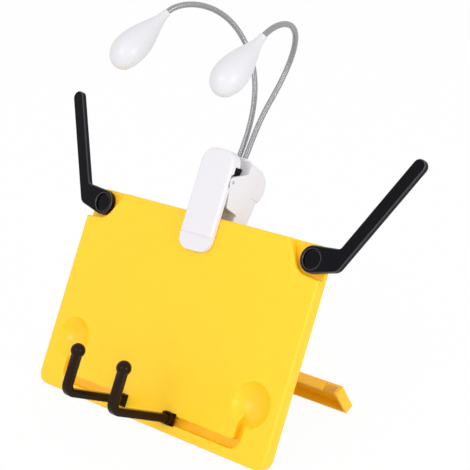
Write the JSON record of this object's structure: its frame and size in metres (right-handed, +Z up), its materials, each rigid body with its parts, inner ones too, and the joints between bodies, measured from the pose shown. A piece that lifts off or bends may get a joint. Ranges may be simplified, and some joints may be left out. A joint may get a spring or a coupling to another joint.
{
  "type": "tabletop music stand",
  "caption": "Fold-flat tabletop music stand: leaning moulded panel with swing-out page arms, page hooks, a nesting kickstand and a clip-on gooseneck lamp.",
  "frame": {"origin": "middle of the bounding box at the table, below the stand", "axes": "+X to the right as seen by the reader, +Y to the back, +Z up from the table"},
  "size_m": [0.405, 0.2293, 0.3597],
  "materials": {
    "yellow_plastic": "satin moulded plastic",
    "black_plastic": "satin moulded plastic",
    "white_plastic": "glossy moulded plastic",
    "steel": "plain drawn steel",
    "rubber": "matt",
    "neck_metal": "wound ribbed metal",
    "contact_metal": "plated",
    "cell": "plain unlabelled sleeve",
    "board": "coated board",
    "lens": "clear plastic",
    "led": "clear resin"
  },
  "bodies": {
    "stand": {"panel": "yellow_plastic", "hinge_pins": "steel", "left_arm_cap": "black_plastic", "right_arm_cap": "black_plastic", "arm_washers": "steel", "arm_screws": "steel", "hook_pins": "steel", "lamp_housing": "white_plastic", "rear_cover": "white_plastic", "battery_cells": "cell", "battery_springs": "steel", "battery_contacts": "contact_metal", "switch_board": "board", "clip_pin": "steel", "clip_spring": "steel", "jaw_pad": "rubber", "left_neck": "neck_metal", "right_neck": "neck_metal"},
    "kickstand": {"kickstand": "yellow_plastic"},
    "left_arm": {"left_arm": "black_plastic"},
    "right_arm": {"right_arm": "black_plastic"},
    "left_hook": {"left_hook": "black_plastic"},
    "right_hook": {"right_hook": "black_plastic"},
    "clip_lever": {"clip_lever": "white_plastic", "lever_pad": "rubber"},
    "left_button": {"left_button": "black_plastic"},
    "right_button": {"right_button": "black_plastic"},
    "battery_door": {"battery_door": "white_plastic"},
    "left_head": {"left_head": "white_plastic", "left_lens": "lens", "left_led_board": "board", "left_leds": "led"},
    "right_head": {"right_head": "white_plastic", "right_lens": "lens", "right_led_board": "board", "right_leds": "led"}
  },
  "joints": [
    {"name": "left_arm_swing", "type": "hinge", "parent": "stand", "child": "left_arm", "pos_m": [-0.1235, 0.02427, 0.16535], "axis": [0, 0.9003, -0.4352], "range_deg": [-18, 90]},
    {"name": "right_arm_swing", "type": "hinge", "parent": "stand", "child": "right_arm", "pos_m": [0.1235, 0.02427, 0.16535], "axis": [0, -0.9003, 0.4352], "range_deg": [-18, 90]},
    {"name": "left_hook_swing", "type": "hinge", "parent": "stand", "child": "left_hook", "pos_m": [-0.0275, -0.04439, 0.01527], "axis": [0, -0.4352, -0.9003], "range_deg": [0, 90]},
    {"name": "right_hook_swing", "type": "hinge", "parent": "stand", "child": "right_hook", "pos_m": [0.0275, -0.04439, 0.01527], "axis": [0, 0.4352, 0.9003], "range_deg": [0, 90]},
    {"name": "kickstand_fold", "type": "hinge", "parent": "stand", "child": "kickstand", "pos_m": [0, 0.02613, 0.15334], "axis": [1, 0, 0], "range_deg": [-49.27, 0]},
    {"name": "clip_squeeze", "type": "hinge", "parent": "stand", "child": "clip_lever", "pos_m": [0.003, 0.04609, 0.20589], "axis": [-1, 0, 0], "range_deg": [0, 16], "stiffness_Nm_per_rad": 1.2, "springref_deg": -22.92, "deforming": ["clip_spring"]},
    {"name": "left_button_press", "type": "slide", "parent": "stand", "child": "left_button", "axis": [0, 0.8111, -0.585], "range_m": [0, 0.0008], "stiffness_N_per_m": 600, "springref_m": -0.002},
    {"name": "right_button_press", "type": "slide", "parent": "stand", "child": "right_button", "axis": [0, 0.8111, -0.585], "range_m": [0, 0.0008], "stiffness_N_per_m": 600, "springref_m": -0.002},
    {"name": "battery_door_slide", "type": "slide", "parent": "stand", "child": "battery_door", "axis": [0, -0.585, -0.8111], "range_m": [0, 0.01]},
    {"name": "left_neck_bend", "type": "hinge", "parent": "stand", "child": "left_head", "pos_m": [-0.014, 0.0979, 0.32388], "axis": [1, 0, 0], "range_deg": [-30, 30], "deforming": ["left_neck"]},
    {"name": "right_neck_bend", "type": "hinge", "parent": "stand", "child": "right_head", "pos_m": [0.036, 0.10948, 0.3143], "axis": [1, 0, 0], "range_deg": [-30, 30], "deforming": ["right_neck"]}
  ]
}
